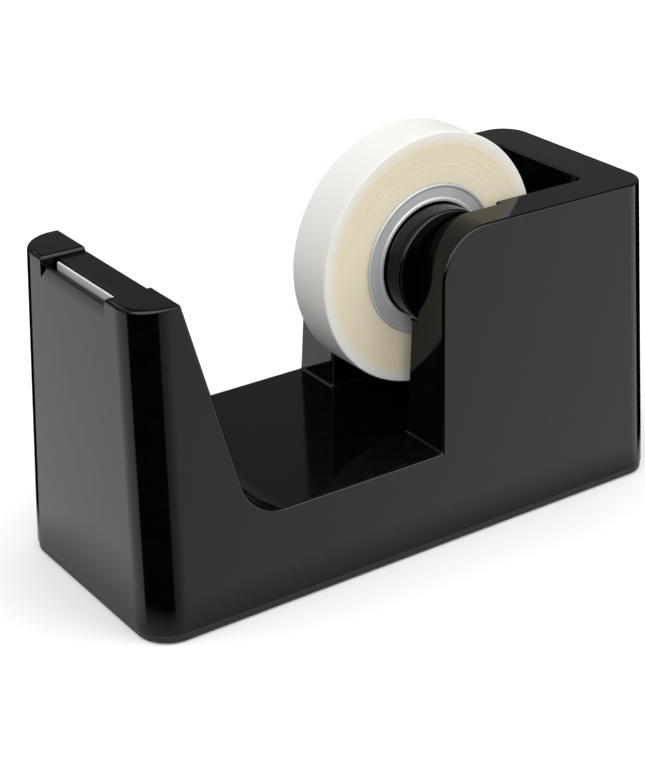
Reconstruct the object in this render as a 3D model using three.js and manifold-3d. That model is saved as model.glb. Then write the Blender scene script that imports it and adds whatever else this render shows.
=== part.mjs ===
// Desk tape dispenser: a weighted, hollow housing with a cutter at its front and
// a lift-out reel for a small-core roll of tape between two walls at its back.
// Millimetres, +Z up. +X runs from the cutter to the back, +Y across the housing.
// The origin is at the middle of the outline, on the surface the dispenser stands on.
import * as THREE from "three";
import { mergeVertices } from "three/addons/utils/BufferGeometryUtils.js";
import Module from "manifold-3d";

const wasm = await Module();
wasm.setup();

// ---------- driving dimensions ----------

const GAP = 0.3; // clearance between pieces that touch
const LENGTH = 140; // housing, front to back, at its lower edge
const WIDTH = 58; // housing, side to side, at its lower edge
const HEIGHT = 73.5; // top of both towers
const SKIN = 2.4; // moulded wall thickness
const HOUSING_BOTTOM = 2.4; // the base plate shows below this height
const FRONT_CORNER = 8; // vertical corner radii
const BACK_CORNER = 7;
const SIDE_DRAFT = 0.052; // inward lean of each face, per millimetre of height
const FRONT_DRAFT = 0.0165;
const BACK_DRAFT = 0.052;

const VALLEY_FLOOR = 23; // height of the low floor between the towers
const CUTTER_TOWER_DEPTH = 10.4; // front tower, front to back, at its top
const CUTTER_TOWER_LEAN = 0.27; // forward lean of its back face
const VALLEY_FILLET = 11; // curve from that face into the floor
const ROLL_TOWER_FRONT = 5.2; // X of the roll tower's front face at the floor
const ROLL_TOWER_LEAN = 0.015;
const ROLL_TOWER_ROUND = 12; // curve from that face into the tower's top

const SLOT_HALF_TOP = 15.8; // half the gap between the roll tower's walls
const SLOT_TAPER = 0.028; // each wall thickens downwards by this per millimetre
const SLOT_BACK_TOP = 54.2; // X of the back wall's inner face, at the top
const SLOT_BACK_TAPER = 0.03;
const SLOT_CORNER = 2.5;

const REEL = new THREE.Vector3(14, 0, 61.7); // middle of the reel's axis
const REEL_HALF = 16.6; // half the reel's length
const DISC_RADIUS = 13; // spindle's end discs
const DISC_THICKNESS = 4.6;
const SEAT_RADIUS = 14.1; // open-topped seats that the discs drop into
const SHAFT_RADIUS = 4;
const DRUM_RADIUS = 12.6;
const TAPE_WIDTH = 12;
const TAPE_MIDDLE = -5; // the narrow roll sits towards one end of the drum
const TAPE_RADIUS = 28.9;
const CORE_INNER = 13.25;
const CORE_OUTER = 17.3;

const CUTTER_HALF = 13.3; // half the width of the recess between the end caps
const CUTTER_FLOOR = 62.7; // floor of that recess
const CUTTER_TOP = 72.5; // top of the cutter bar
const RIM_TOP = 71.4; // top of the front wall ahead of the blade
const RIM_DEPTH = 2.7; // back of that wall, behind the housing's lowest front edge
const RIM_SLOPE_HEIGHT = 2.4; // height of the slope that leads the tape back over the rim
const RIM_SLOPE_DEPTH = 0.95;
const BAR_FRONT = -66.7; // X of the front of the bar's lip
const LIP_TOP = 70.6; // top of the lip, which holds the blade from the front
const BLADE_FRONT = -65.5; // X of the blade's front face
const BLADE_TOP = 72.1; // tips of its teeth
const BLADE_THICKNESS = 0.5;
const BLADE_HALF = 12.3;
const BLADE_HEIGHT = 7.8;
const TOOTH_PITCH = 0.78;
const TOOTH_DEPTH = 0.3;

const PLATE_INSET = 0.4; // base plate's step in from the housing
const PLATE_BOTTOM = 0.4;
const PLATE_FLANGE_TOP = 2.1;
const PLATE_TOP = 3.4;
const RIB_BOTTOM = 2.4; // ribs under the ballast, joined to the base plate
const RIB_WIDTH = 2;
const RIB_HALF_SPACING = 14;
const RIB_END = 14; // each rib stops this far from the ends of the housing
const PAD_CENTRES = [-53, 55];
const PAD_LENGTH = 16;
const PAD_HALF_WIDTH = 20;
const PAD_CORNER = 3;
const PAD_RECESS_TOP = 1.5;

const BALLAST_CENTRES = [-24, 28];
const BALLAST_HALF_LENGTH = 22;
const BALLAST_HALF_WIDTH = 22;
const BALLAST_BOTTOM = 6;
const BALLAST_TOP = 18;
const BALLAST_EDGE = 2; // step round the top of each block
const BALLAST_SCREW_REACH = 14; // screws, to each side of a block's middle

const FRONT_X = -LENGTH / 2;
const BACK_X = LENGTH / 2;
const ABOVE = HEIGHT + 10; // cutting shapes run out past the top to here
const BELOW = -1; // and past the bottom to here
const ROUND_STEPS = 40; // facets in a full turn of a large round piece
const HOLE_STEPS = 12; // facets in a full turn of a small hole

// ---------- finishes ----------

const finish = (color, roughness, metalness = 0) => () =>
  new THREE.MeshStandardMaterial({ color, roughness, metalness });

const glossBlack = finish(0x0b0b0c, 0.18);
const mouldedBlack = finish(0x131314, 0.4);
const steel = finish(0xc9ccd0, 0.28, 1);
const iron = finish(0x4a4a4d, 0.6, 0.8);
const rubber = finish(0x17181a, 0.85);
const felt = finish(0x3c3a38, 0.95);
const greyCore = finish(0xb6b8bc, 0.45);
const tapeFilm = finish(0xe9dfc4, 0.22);

// ---------- solid helpers ----------

function solid(geometry) {
  const plain = geometry.index ? geometry.toNonIndexed() : geometry.clone();
  plain.deleteAttribute("normal");
  plain.deleteAttribute("uv");
  const merged = mergeVertices(plain, 1e-4);
  return new wasm.Manifold(
    new wasm.Mesh({
      numProp: 3,
      vertProperties: new Float32Array(merged.attributes.position.array),
      triVerts: new Uint32Array(merged.index.array),
    }),
  );
}

function geometryOf(made) {
  const mesh = made.getMesh();
  const geometry = new THREE.BufferGeometry();
  geometry.setAttribute("position", new THREE.BufferAttribute(mesh.vertProperties, 3));
  geometry.setIndex(new THREE.BufferAttribute(mesh.triVerts, 1));
  const flat = geometry.toNonIndexed();
  flat.computeVertexNormals();
  return flat;
}

const joined = (first, ...others) => others.reduce((sum, other) => sum.add(other), first);
const cut = (body, ...tools) => tools.reduce((rest, tool) => rest.subtract(tool), body);

function box(low, high) {
  const size = high.map((value, axis) => value - low[axis]);
  const middle = high.map((value, axis) => (value + low[axis]) / 2);
  return solid(new THREE.BoxGeometry(...size).translate(...middle));
}

// A shape drawn in X and Y, raised from one height to another.
function raised(shape, bottom, top, curveSegments = 8) {
  const options = { depth: top - bottom, bevelEnabled: false, curveSegments };
  return new THREE.ExtrudeGeometry(shape, options).translate(0, 0, bottom);
}

// A shape drawn in X and Z, carried across the housing from -half to +half.
function carriedAcross(shape, half, curveSegments = 10) {
  const options = { depth: 2 * half, bevelEnabled: false, curveSegments };
  return new THREE.ExtrudeGeometry(shape, options).rotateX(Math.PI / 2).translate(0, half, 0);
}

// A ring or rod about the Y axis, from [radius, y] points that close on themselves
// or start and end on the axis.
function turned(points, steps = ROUND_STEPS) {
  const profile = points.map(([radius, y]) => new THREE.Vector2(radius, y));
  return new THREE.LatheGeometry(profile, steps);
}

function ring(inner, outer, low, high, steps = ROUND_STEPS) {
  const corners = [
    [inner, low],
    [outer, low],
    [outer, high],
    [inner, high],
    [inner, low],
  ];
  return turned(corners, steps);
}

function upright(radius, bottom, top, x, y, steps = 20) {
  const geometry = new THREE.CylinderGeometry(radius, radius, top - bottom, steps);
  return geometry.rotateX(Math.PI / 2).translate(x, y, (top + bottom) / 2);
}

// ---------- outlines ----------

// Rectangle with its own corner radius at each end, on the housing's centre line.
function plan(front, back, half, frontCorner, backCorner) {
  const shape = new THREE.Shape();
  shape.moveTo(front + frontCorner, -half);
  shape.lineTo(back - backCorner, -half);
  shape.absarc(back - backCorner, -half + backCorner, backCorner, -Math.PI / 2, 0);
  shape.lineTo(back, half - backCorner);
  shape.absarc(back - backCorner, half - backCorner, backCorner, 0, Math.PI / 2);
  shape.lineTo(front + frontCorner, half);
  shape.absarc(front + frontCorner, half - frontCorner, frontCorner, Math.PI / 2, Math.PI);
  shape.lineTo(front, -half + frontCorner);
  shape.absarc(front + frontCorner, -half + frontCorner, frontCorner, Math.PI, 1.5 * Math.PI);
  return shape;
}

// Leans each vertical face of a raised plan: the leans are per millimetre above z = 0.
function leaned(geometry, frontLean, backLean, sideLean) {
  const place = geometry.attributes.position;
  for (let i = 0; i < place.count; i++) {
    const [x, y, z] = [place.getX(i), place.getY(i), place.getZ(i)];
    place.setX(i, x < 0 ? x + frontLean * z : x - backLean * z);
    place.setY(i, y - Math.sign(y) * sideLean * z);
  }
  return geometry;
}

// The housing's outer form, or with an inset the form of the hollow inside it.
function leanedBlock(inset, bottom, top) {
  const outline = plan(
    FRONT_X + inset,
    BACK_X - inset,
    WIDTH / 2 - inset,
    FRONT_CORNER - inset,
    BACK_CORNER - inset,
  );
  return solid(leaned(raised(outline, bottom, top), FRONT_DRAFT, BACK_DRAFT, SIDE_DRAFT));
}

const housingFront = (z) => FRONT_X + FRONT_DRAFT * z;
const cutterTowerBack = (z) =>
  housingFront(HEIGHT) + CUTTER_TOWER_DEPTH + CUTTER_TOWER_LEAN * (HEIGHT - z);

// The space between the towers, seen from the side. A skin grows it on every side.
function valley(skin) {
  const floor = VALLEY_FLOOR - skin;
  const leanAngle = Math.atan(CUTTER_TOWER_LEAN);
  const frontX = (z) => cutterTowerBack(z) - skin / Math.cos(leanAngle);
  const fillet = VALLEY_FILLET + skin;
  const filletZ = floor + fillet;
  const filletX = frontX(filletZ) + fillet / Math.cos(leanAngle);
  const backX = (z) => ROLL_TOWER_FRONT + ROLL_TOWER_LEAN * (z - VALLEY_FLOOR) + skin;
  const round = ROLL_TOWER_ROUND - skin;
  const roundZ = HEIGHT - ROLL_TOWER_ROUND;
  const roundX = backX(roundZ) + round;

  const shape = new THREE.Shape();
  shape.moveTo(frontX(ABOVE), ABOVE);
  shape.lineTo(filletX - fillet * Math.cos(leanAngle), filletZ - fillet * Math.sin(leanAngle));
  shape.absarc(filletX, filletZ, fillet, Math.PI + leanAngle, 1.5 * Math.PI);
  shape.lineTo(backX(floor), floor);
  shape.lineTo(backX(roundZ), roundZ);
  shape.absarc(roundX, roundZ, round, Math.PI, Math.PI / 2, true);
  shape.lineTo(roundX, ABOVE);
  return solid(carriedAcross(shape, WIDTH));
}

// The space between the roll tower's walls, narrower towards the floor.
function slot(skin) {
  const half = SLOT_HALF_TOP - SLOT_TAPER * HEIGHT + skin;
  const back = SLOT_BACK_TOP - SLOT_BACK_TAPER * HEIGHT + skin;
  const front = ROLL_TOWER_FRONT - 10;
  const corner = SLOT_CORNER + skin;
  const shape = new THREE.Shape();
  shape.moveTo(front, -half);
  shape.lineTo(back - corner, -half);
  shape.absarc(back - corner, -half + corner, corner, -Math.PI / 2, 0);
  shape.lineTo(back, half - corner);
  shape.absarc(back - corner, half - corner, corner, 0, Math.PI / 2);
  shape.lineTo(front, half);
  const raisedSlot = raised(shape, VALLEY_FLOOR - skin, ABOVE, 5);
  return solid(leaned(raisedSlot, 0, -SLOT_BACK_TAPER, -SLOT_TAPER));
}

// The pair of open-topped seats for the reel's end discs, cut into both walls at once.
function seats(skin) {
  const radius = SEAT_RADIUS + skin;
  const middleZ = REEL.z + SEAT_RADIUS - DISC_RADIUS - GAP;
  const shape = new THREE.Shape();
  shape.moveTo(REEL.x - radius, ABOVE);
  shape.lineTo(REEL.x - radius, middleZ);
  shape.absarc(REEL.x, middleZ, radius, Math.PI, 2 * Math.PI);
  shape.lineTo(REEL.x + radius, ABOVE);
  return solid(carriedAcross(shape, REEL_HALF + GAP + skin, 14));
}

// The recess that holds the cutter bar, open towards the valley and upwards.
function recess(front, skin) {
  return box(
    [front, -CUTTER_HALF - skin, CUTTER_FLOOR - skin],
    [cutterTowerBack(0), CUTTER_HALF + skin, ABOVE],
  );
}

// What is taken off the front wall between the caps: its top, and a slope up to its rim.
function rimCut() {
  const slopeLow = RIM_TOP - RIM_SLOPE_HEIGHT;
  const ahead = FRONT_X - 5;
  const behind = FRONT_X + RIM_DEPTH + 1;
  const shape = new THREE.Shape();
  shape.moveTo(ahead, slopeLow);
  shape.lineTo(housingFront(slopeLow), slopeLow);
  shape.lineTo(housingFront(slopeLow) + RIM_SLOPE_DEPTH, RIM_TOP);
  shape.lineTo(behind, RIM_TOP);
  shape.lineTo(behind, ABOVE);
  shape.lineTo(ahead, ABOVE);
  return solid(carriedAcross(shape, CUTTER_HALF));
}

// ---------- fasteners ----------

// A flat-headed screw standing point up, its head at the bottom.
function screw({ headRadius, headHeight, radius, length }) {
  const driveRadius = headRadius * 0.45;
  const driveDepth = headHeight * 0.5;
  const head = upright(headRadius, 0, headHeight, 0, 0, 16);
  const shank = upright(radius, headHeight - 0.2, headHeight + length, 0, 0, HOLE_STEPS);
  const drive = upright(driveRadius, BELOW, driveDepth, 0, 0, 6);
  return cut(joined(solid(head), solid(shank)), solid(drive));
}

const BASE_SCREW = { headRadius: 2.7, headHeight: 1, radius: 1.3, length: 10 };
const BALLAST_SCREW = { headRadius: 2.9, headHeight: 1, radius: 1.5, length: 11 };
const BAR_SCREW = { headRadius: 2, headHeight: 1.4, radius: 0.9, length: 6.5 };
const DISC_SCREW = { headRadius: 2.6, headHeight: 1.5, radius: 1.2, length: 9 };

const SCREW_HEAD_LOW = 0.9; // height of the underside of the screw heads in the base
const BOSS_RADIUS = 4;
const BOSS_TOP = 17;
const BOSS_INSET = 5.8; // boss centres, in from the housing's lower edges
const BASE_SCREWS = [FRONT_X + BOSS_INSET, BACK_X - BOSS_INSET].flatMap((x) =>
  [BOSS_INSET - WIDTH / 2, WIDTH / 2 - BOSS_INSET].map((y) => [x, y]),
);
const BALLAST_SCREWS = BALLAST_CENTRES.flatMap((x) => [
  x - BALLAST_SCREW_REACH,
  x + BALLAST_SCREW_REACH,
]);
const BAR_SCREWS = [-9, 9];
const BAR_SCREW_X = -60.6;
const BAR_SCREW_DEPTH = 6; // of each pilot hole in the bar

// ---------- housing ----------

function housing() {
  const outer = cut(
    leanedBlock(0, HOUSING_BOTTOM, HEIGHT),
    valley(0),
    slot(0),
    seats(0),
    recess(FRONT_X + RIM_DEPTH, 0),
    rimCut(),
  );
  const hollow = cut(
    leanedBlock(SKIN, BELOW, HEIGHT - SKIN),
    valley(SKIN),
    slot(SKIN),
    seats(SKIN),
    recess(FRONT_X - SKIN, SKIN),
  );
  const bosses = BASE_SCREWS.map(([x, y]) =>
    solid(upright(BOSS_RADIUS, PLATE_TOP + GAP, BOSS_TOP, x, y)),
  );
  const pilots = BASE_SCREWS.map(([x, y]) =>
    solid(upright(BASE_SCREW.radius + GAP, 0, BOSS_TOP - SKIN, x, y, HOLE_STEPS)),
  );
  const barHoles = BAR_SCREWS.map((y) => {
    const [bottom, top] = [CUTTER_FLOOR - 2 * SKIN, CUTTER_FLOOR + SKIN];
    return solid(upright(BAR_SCREW.radius + GAP, bottom, top, BAR_SCREW_X, y, HOLE_STEPS));
  });
  const shell = cut(outer, cut(hollow, ...bosses));
  return cut(shell, ...pilots, ...barHoles);
}

// ---------- base ----------

function basePlate() {
  const flange = plan(
    FRONT_X + PLATE_INSET,
    BACK_X - PLATE_INSET,
    WIDTH / 2 - PLATE_INSET,
    FRONT_CORNER - PLATE_INSET,
    BACK_CORNER - PLATE_INSET,
  );
  const innerInset = SKIN + 2 * GAP;
  const inner = plan(
    FRONT_X + innerInset,
    BACK_X - innerInset,
    WIDTH / 2 - innerInset,
    FRONT_CORNER - innerInset,
    BACK_CORNER - innerInset,
  );
  const ribs = [-RIB_HALF_SPACING, RIB_HALF_SPACING].map((y) =>
    box(
      [FRONT_X + RIB_END, y - RIB_WIDTH / 2, RIB_BOTTOM],
      [BACK_X - RIB_END, y + RIB_WIDTH / 2, BALLAST_BOTTOM - GAP],
    ),
  );
  const holes = (places, kind) =>
    places.flatMap(([x, y]) => [
      solid(upright(kind.radius + GAP, BELOW, BALLAST_BOTTOM, x, y, 16)),
      solid(upright(kind.headRadius + GAP, BELOW, SCREW_HEAD_LOW + kind.headHeight + GAP, x, y)),
    ]);
  const ballastPlaces = BALLAST_SCREWS.map((x) => [x, 0]);
  const pads = PAD_CENTRES.map((x) => solid(raised(padOutline(x, GAP), BELOW, PAD_RECESS_TOP, 5)));
  const body = joined(
    solid(raised(flange, PLATE_BOTTOM, PLATE_FLANGE_TOP)),
    solid(raised(inner, PLATE_FLANGE_TOP - GAP, PLATE_TOP)),
    ...ribs,
  );
  return cut(body, ...holes(BASE_SCREWS, BASE_SCREW), ...holes(ballastPlaces, BALLAST_SCREW), ...pads);
}

function padOutline(x, grow) {
  const half = PAD_LENGTH / 2 + grow;
  return plan(x - half, x + half, PAD_HALF_WIDTH + grow, PAD_CORNER, PAD_CORNER);
}

const antiSlipPad = (x) => solid(raised(padOutline(x, 0), 0, PAD_RECESS_TOP - GAP, 5));

// A cast block with a step round its top, and a tapped hole for each of its screws.
function ballast(middle) {
  const block = (inset, bottom, top) => {
    const [front, back] = [middle - BALLAST_HALF_LENGTH + inset, middle + BALLAST_HALF_LENGTH - inset];
    const corner = BALLAST_EDGE + 1;
    return solid(raised(plan(front, back, BALLAST_HALF_WIDTH - inset, corner, corner), bottom, top, 4));
  };
  const body = joined(
    block(0, BALLAST_BOTTOM, BALLAST_TOP - BALLAST_EDGE),
    block(BALLAST_EDGE, BALLAST_TOP - 2 * BALLAST_EDGE, BALLAST_TOP),
  );
  const tapped = [-BALLAST_SCREW_REACH, BALLAST_SCREW_REACH].map((reach) => {
    const radius = BALLAST_SCREW.radius + GAP;
    return solid(upright(radius, 0, BALLAST_TOP - BALLAST_EDGE, middle + reach, 0, HOLE_STEPS));
  });
  return cut(body, ...tapped);
}

// ---------- cutter ----------

const BLADE_BOTTOM = BLADE_TOP - BLADE_HEIGHT;

// The bar has a narrow slot near its front edge, and the blade stands in the slot.
function cutterBar() {
  const low = CUTTER_FLOOR + GAP;
  const slotFront = BLADE_FRONT - GAP;
  const slotBack = BLADE_FRONT + BLADE_THICKNESS + GAP;
  const shape = new THREE.Shape();
  shape.moveTo(BAR_FRONT, low);
  shape.lineTo(cutterTowerBack(low), low);
  shape.lineTo(cutterTowerBack(CUTTER_TOP), CUTTER_TOP);
  shape.lineTo(slotBack, CUTTER_TOP);
  shape.lineTo(slotBack, BLADE_BOTTOM - GAP);
  shape.lineTo(slotFront, BLADE_BOTTOM - GAP);
  shape.lineTo(slotFront, LIP_TOP);
  shape.lineTo(BAR_FRONT, LIP_TOP);
  const pilots = BAR_SCREWS.map((y) => {
    const [bottom, top] = [CUTTER_FLOOR, CUTTER_FLOOR + BAR_SCREW_DEPTH];
    return solid(upright(BAR_SCREW.radius + GAP, bottom, top, BAR_SCREW_X, y, HOLE_STEPS));
  });
  return cut(solid(carriedAcross(shape, CUTTER_HALF - GAP)), ...pilots);
}

function cutterBlade() {
  const teeth = Math.round((2 * BLADE_HALF) / TOOTH_PITCH);
  const pitch = (2 * BLADE_HALF) / teeth;
  const shape = new THREE.Shape();
  shape.moveTo(-BLADE_HALF, BLADE_BOTTOM);
  shape.lineTo(BLADE_HALF, BLADE_BOTTOM);
  shape.lineTo(BLADE_HALF, BLADE_TOP - TOOTH_DEPTH);
  for (let i = 0; i < teeth; i++) {
    const right = BLADE_HALF - i * pitch;
    shape.lineTo(right - pitch / 2, BLADE_TOP);
    shape.lineTo(right - pitch, BLADE_TOP - TOOTH_DEPTH);
  }
  const options = { depth: BLADE_THICKNESS, bevelEnabled: false };
  const plate = new THREE.ExtrudeGeometry(shape, options)
    .rotateX(Math.PI / 2)
    .rotateZ(Math.PI / 2)
    .translate(BLADE_FRONT, 0, 0);
  return solid(plate);
}

// ---------- reel ----------

const DISC_INNER = REEL_HALF - DISC_THICKNESS; // inner face of each end disc
const DRUM_HALF = DISC_INNER - GAP;
const SHAFT_END = DISC_INNER + 2; // the shaft's free end, inside the loose disc
const BRAKE_OUTER = 10.2;
const BRAKE_DEPTH = 1.3;
const DISC_EDGE = 1; // chamfer round each disc's outer face
const RIB_HEIGHT = 2; // grip ribs along the drum, sunk in it by most of their height
const GRIP_RIBS = 4;

function spindle() {
  const profile = [
    [0, -REEL_HALF],
    [DISC_RADIUS - DISC_EDGE, -REEL_HALF],
    [DISC_RADIUS, -REEL_HALF + DISC_EDGE],
    [DISC_RADIUS, -DISC_INNER],
    [SHAFT_RADIUS, -DISC_INNER],
    [SHAFT_RADIUS, SHAFT_END],
    [0, SHAFT_END],
  ];
  const pilotStart = REEL_HALF - DISC_SCREW.headHeight - DISC_SCREW.length - 2 * GAP;
  const pilot = ring(0, DISC_SCREW.radius + GAP, pilotStart, SHAFT_END + 1, HOLE_STEPS);
  return cut(solid(turned(profile)), solid(pilot));
}

function looseDisc() {
  const headRadius = DISC_SCREW.headRadius + GAP;
  const headDepth = DISC_SCREW.headHeight + 2 * GAP;
  const shankRadius = DISC_SCREW.radius + GAP;
  const socket = SHAFT_RADIUS + GAP;
  const profile = [
    [shankRadius, SHAFT_END + GAP],
    [socket, SHAFT_END + GAP],
    [socket, DISC_INNER],
    [DISC_RADIUS, DISC_INNER],
    [DISC_RADIUS, REEL_HALF - DISC_EDGE],
    [DISC_RADIUS - DISC_EDGE, REEL_HALF],
    [headRadius, REEL_HALF],
    [headRadius, REEL_HALF - headDepth],
    [shankRadius, REEL_HALF - headDepth],
    [shankRadius, SHAFT_END + GAP],
  ];
  return solid(turned(profile));
}

function drum() {
  const bore = SHAFT_RADIUS + GAP;
  const brakeFace = DRUM_HALF - BRAKE_DEPTH;
  const profile = [
    [bore, -brakeFace],
    [BRAKE_OUTER, -brakeFace],
    [BRAKE_OUTER, -DRUM_HALF],
    [DRUM_RADIUS, -DRUM_HALF],
    [DRUM_RADIUS, DRUM_HALF],
    [BRAKE_OUTER, DRUM_HALF],
    [BRAKE_OUTER, brakeFace],
    [bore, brakeFace],
    [bore, -brakeFace],
  ];
  const ribMiddle = CORE_INNER - GAP - RIB_HEIGHT / 2;
  const ribs = Array.from({ length: GRIP_RIBS }, (_, i) => {
    const rib = new THREE.BoxGeometry(1.6, 2 * (DRUM_HALF - BRAKE_DEPTH), RIB_HEIGHT);
    return solid(rib.translate(0, 0, ribMiddle).rotateY(((i + 0.5) * 2 * Math.PI) / GRIP_RIBS));
  });
  return joined(solid(turned(profile)), ...ribs);
}

function brakeRing(side) {
  const innerFace = DRUM_HALF - BRAKE_DEPTH + GAP;
  const [low, high] = side < 0 ? [-DRUM_HALF, -innerFace] : [innerFace, DRUM_HALF];
  return solid(ring(SHAFT_RADIUS + 1, BRAKE_OUTER - GAP, low, high, 24));
}

const TAPE_LOW = TAPE_MIDDLE - TAPE_WIDTH / 2;
const TAPE_HIGH = TAPE_MIDDLE + TAPE_WIDTH / 2;

function tapeCore() {
  const proud = 0.4; // the core stands out of the wound tape at both faces
  const edge = 0.5;
  const profile = [
    [CORE_INNER, TAPE_LOW - proud],
    [CORE_OUTER - edge, TAPE_LOW - proud],
    [CORE_OUTER, TAPE_LOW - proud + edge],
    [CORE_OUTER, TAPE_HIGH + proud - edge],
    [CORE_OUTER - edge, TAPE_HIGH + proud],
    [CORE_INNER, TAPE_HIGH + proud],
    [CORE_INNER, TAPE_LOW - proud],
  ];
  return solid(turned(profile));
}

const tapeRoll = () => solid(ring(CORE_OUTER + GAP, TAPE_RADIUS, TAPE_LOW, TAPE_HIGH, 64));

// ---------- assembly ----------

const group = new THREE.Group();

function add(parent, name, made, material) {
  const mesh = new THREE.Mesh(geometryOf(made), material());
  mesh.name = name;
  parent.add(mesh);
  return mesh;
}

add(group, "housing", housing(), glossBlack);
add(group, "base_plate", basePlate(), mouldedBlack);
["front", "back"].forEach((end, i) => {
  add(group, `anti_slip_pad_${end}`, antiSlipPad(PAD_CENTRES[i]), rubber);
  add(group, `ballast_${end}`, ballast(BALLAST_CENTRES[i]), iron);
});
BASE_SCREWS.forEach(([x, y], i) => {
  const mesh = add(group, `base_screw_${i + 1}`, screw(BASE_SCREW), steel);
  mesh.position.set(x, y, SCREW_HEAD_LOW);
});
BALLAST_SCREWS.forEach((x, i) => {
  const mesh = add(group, `ballast_screw_${i + 1}`, screw(BALLAST_SCREW), steel);
  mesh.position.set(x, 0, SCREW_HEAD_LOW);
});

add(group, "cutter_bar", cutterBar(), glossBlack);
add(group, "cutter_blade", cutterBlade(), steel);
BAR_SCREWS.forEach((y, i) => {
  const mesh = add(group, `cutter_bar_screw_${i + 1}`, screw(BAR_SCREW), steel);
  mesh.position.set(BAR_SCREW_X, y, CUTTER_FLOOR - SKIN - GAP - BAR_SCREW.headHeight);
});

const reel = new THREE.Group();
reel.position.copy(REEL);
group.add(reel);
add(reel, "spindle", spindle(), glossBlack);
add(reel, "spindle_loose_disc", looseDisc(), glossBlack);
const discScrew = add(reel, "spindle_screw", screw(DISC_SCREW), steel);
discScrew.rotation.x = Math.PI / 2;
discScrew.position.y = REEL_HALF - GAP;
add(reel, "drum", drum(), glossBlack);
add(reel, "brake_ring_left", brakeRing(-1), felt);
add(reel, "brake_ring_right", brakeRing(1), felt);
add(reel, "tape_core", tapeCore(), greyCore);
add(reel, "tape_roll", tapeRoll(), tapeFilm);

export default group;
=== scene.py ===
"""The looks of a desk tape dispenser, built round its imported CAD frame.

Outlines and meshes are drawn in millimetres, in the frame's own axes, and each finished
piece is then scaled to metres.
"""

import math
import random

import bmesh
import bpy
from mathutils import Matrix, Vector


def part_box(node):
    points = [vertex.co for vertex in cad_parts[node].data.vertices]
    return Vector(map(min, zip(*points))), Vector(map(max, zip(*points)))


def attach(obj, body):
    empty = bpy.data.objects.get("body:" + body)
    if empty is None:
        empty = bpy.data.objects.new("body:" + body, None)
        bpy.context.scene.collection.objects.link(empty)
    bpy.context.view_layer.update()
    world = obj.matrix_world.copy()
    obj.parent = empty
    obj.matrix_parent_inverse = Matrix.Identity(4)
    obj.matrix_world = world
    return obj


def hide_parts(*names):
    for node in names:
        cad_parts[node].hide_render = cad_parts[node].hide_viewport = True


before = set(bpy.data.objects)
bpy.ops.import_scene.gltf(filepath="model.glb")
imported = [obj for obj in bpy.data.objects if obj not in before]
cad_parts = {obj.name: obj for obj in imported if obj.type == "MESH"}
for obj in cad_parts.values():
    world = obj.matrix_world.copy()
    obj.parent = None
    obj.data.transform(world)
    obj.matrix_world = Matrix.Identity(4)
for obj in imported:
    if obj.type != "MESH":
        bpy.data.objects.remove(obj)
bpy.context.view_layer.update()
MM = 0.001


def box_mm(node):
    """Lowest and highest corner of a CAD node, in millimetres."""
    low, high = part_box(node)
    return low / MM, high / MM


# ---------- sizes, in millimetres ----------

SHELL_LOW, SHELL_HIGH = box_mm("housing")
BAR_LOW, BAR_HIGH = box_mm("cutter_bar")
BLADE_LOW, BLADE_HIGH = box_mm("cutter_blade")
PLATE_LOW, PLATE_HIGH = box_mm("base_plate")
SPINDLE_LOW, SPINDLE_HIGH = box_mm("spindle")
DISC_LOW, DISC_HIGH = box_mm("spindle_loose_disc")
DRUM_LOW, DRUM_HIGH = box_mm("drum")
CORE_LOW, CORE_HIGH = box_mm("tape_core")
ROLL_LOW, ROLL_HIGH = box_mm("tape_roll")

TOP = SHELL_HIGH.z
SKIN = 2.4  # wall thickness of the housing
FRONT_CORNER = 8
BACK_CORNER = 7
SIDE_DRAFT = 0.052  # inward lean per millimetre of height
FRONT_DRAFT = 0.0165
BACK_DRAFT = 0.052
GAP = 0.3  # between pieces that fit together
ABOVE = TOP + 10  # cutting shapes run past the top to here,
AHEAD = SHELL_LOW.x - 5  # past the front to here
BELOW = -1  # and past the underside to here

VALLEY_FLOOR = 23
CAP_DEPTH = 10.4  # of the cutter tower, from front to back at its top
CUTTER_TOWER_BACK = SHELL_LOW.x + FRONT_DRAFT * (TOP - SHELL_LOW.z) + CAP_DEPTH
CUTTER_TOWER_LEAN = 0.27
VALLEY_FILLET = 11
ROLL_TOWER_FRONT = 5.2
ROLL_TOWER_LEAN = 0.015
ROLL_TOWER_ROUND = 12

SLOT_HALF = 15.8  # before the taper, which leaves 15.3 at the top
SLOT_TAPER = 0.028
SLOT_BACK = 54.2
SLOT_BACK_TAPER = 0.03
SLOT_CORNER = 2.5

REEL = (SPINDLE_LOW + SPINDLE_HIGH) / 2
DISC_RADIUS = (SPINDLE_HIGH.z - SPINDLE_LOW.z) / 2
REEL_HALF = -SPINDLE_LOW.y
SEAT_PLAY = 1.1  # beside the disc, which rests GAP above the seat's floor
SEAT_RADIUS = DISC_RADIUS + SEAT_PLAY
SEAT_MIDDLE = REEL.z + SEAT_PLAY - GAP
SEAT_HALF = REEL_HALF + GAP
SHAFT_RADIUS = 4

RECESS_HALF = BAR_HIGH.y + GAP
RECESS_FLOOR = BAR_LOW.z - GAP
RIM_TOP = 71.4
RIM_BACK = -67.3
RIM_SLOPE_HEIGHT = 2.4  # of the slope that leads tape back over the rim
RIM_SLOPE_DEPTH = 0.95
LIP_TOP = 70.6  # top of the bar's lip, in front of the blade

EDGE_ROUND = 1.2  # radius of the most rounded moulded edges
NEAR = 0.5  # an edge belongs to a level or a face that its middle is this near to
SHARP = math.radians(15)  # smaller turns between faces belong to a curved surface
CREASE = math.radians(50)  # sharper turns, left after rounding, are shaded as creases
ARC_STEP = 0.5  # length of each straight piece of an arc


# ---------- outlines ----------

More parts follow.
